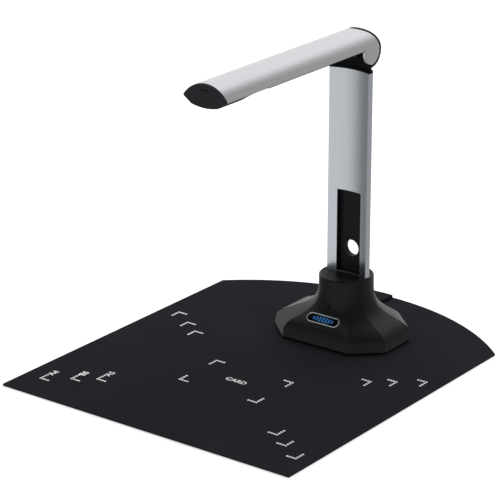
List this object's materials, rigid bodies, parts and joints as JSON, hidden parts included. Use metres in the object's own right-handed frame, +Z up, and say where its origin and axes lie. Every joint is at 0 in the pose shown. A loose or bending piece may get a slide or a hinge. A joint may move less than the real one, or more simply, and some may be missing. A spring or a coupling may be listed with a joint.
{
  "type": "document camera",
  "caption": "Folding document camera: flat work mat, weighted faceted base, concave aluminium upright with a sight hole, and a hinged aluminium arm with the camera and lamps under its head.",
  "frame": {"origin": "under the middle of the work mat, on the table surface", "axes": "+Z up, +Y from the user towards the upright at the mat's rear, +X to the user's right"},
  "size_m": [0.332, 0.4048, 0.3088],
  "materials": {
    "mat_pad": "fine matt grain, printed size marks",
    "base_plastic": "soft-touch moulded",
    "rubber_black": "matt",
    "steel_screw": "zinc plated",
    "ballast_iron": "rough",
    "frame_plastic": "glass-filled nylon",
    "circuit_board": "solder mask",
    "socket_metal": "plated",
    "badge_chrome": "polished",
    "badge_gloss": "dark clear window",
    "light_pipe": "tinted",
    "satin_aluminium": "satin anodised",
    "liner_plastic": "fine texture",
    "ribbon": "flat cable",
    "hinge_gloss": "gloss moulded",
    "bush_plastic": "acetal",
    "shaft_steel": "ground",
    "trim_plastic": "satin moulded",
    "button_plastic": "satin",
    "sensor_glass": "cover glass",
    "lens_black": "matt black",
    "lens_glass": "coated",
    "lamp_diffuser": "frosted",
    "led": "phosphor"
  },
  "bodies": {
    "stand": {"mat": "mat_pad", "mat_rear_tab": "mat_pad", "base_shell": "base_plastic", "base_bottom_plate": "base_plastic", "collar_floor": "base_plastic", "rubber_feet": "rubber_black", "base_screws": "steel_screw", "foot_screws": "steel_screw", "ballast_plate": "ballast_iron", "column_foot": "frame_plastic", "interface_board": "circuit_board", "board_spacers": "frame_plastic", "usb_socket": "socket_metal", "usb_tongue": "frame_plastic", "badge_bezel": "badge_chrome", "badge_plate": "badge_gloss", "status_light": "light_pipe", "column_shell": "satin_aluminium", "column_liner": "liner_plastic", "column_cable": "ribbon", "hinge_knuckle": "hinge_gloss", "hinge_bushes": "bush_plastic", "friction_washers": "bush_plastic"},
    "arm": {"hinge_shaft": "shaft_steel", "arm_shell": "satin_aluminium", "arm_rear_cover": "trim_plastic", "arm_bottom_cover": "trim_plastic", "arm_screws": "steel_screw", "arm_carrier": "frame_plastic", "arm_cable": "ribbon", "camera_housing": "trim_plastic", "head_end_cap": "trim_plastic", "button_switch": "frame_plastic", "button_board": "circuit_board", "camera_board": "circuit_board", "image_sensor": "sensor_glass", "lens_barrel": "lens_black", "lens_glass": "lens_glass", "lens_ring": "lens_black", "lamp_windows": "lamp_diffuser", "lamp_leds": "led"},
    "lamp_button": {"lamp_button": "button_plastic"}
  },
  "joints": [
    {"name": "arm_fold", "type": "hinge", "parent": "stand", "child": "arm", "pos_m": [0.0167, 0.1013, 0.2913], "axis": [1, 0, 0], "range_deg": [0, 86]},
    {"name": "lamp_button_press", "type": "slide", "parent": "arm", "child": "lamp_button", "axis": [0, 1, 0], "range_m": [0, 0.0006], "stiffness_N_per_m": 3000}
  ]
}
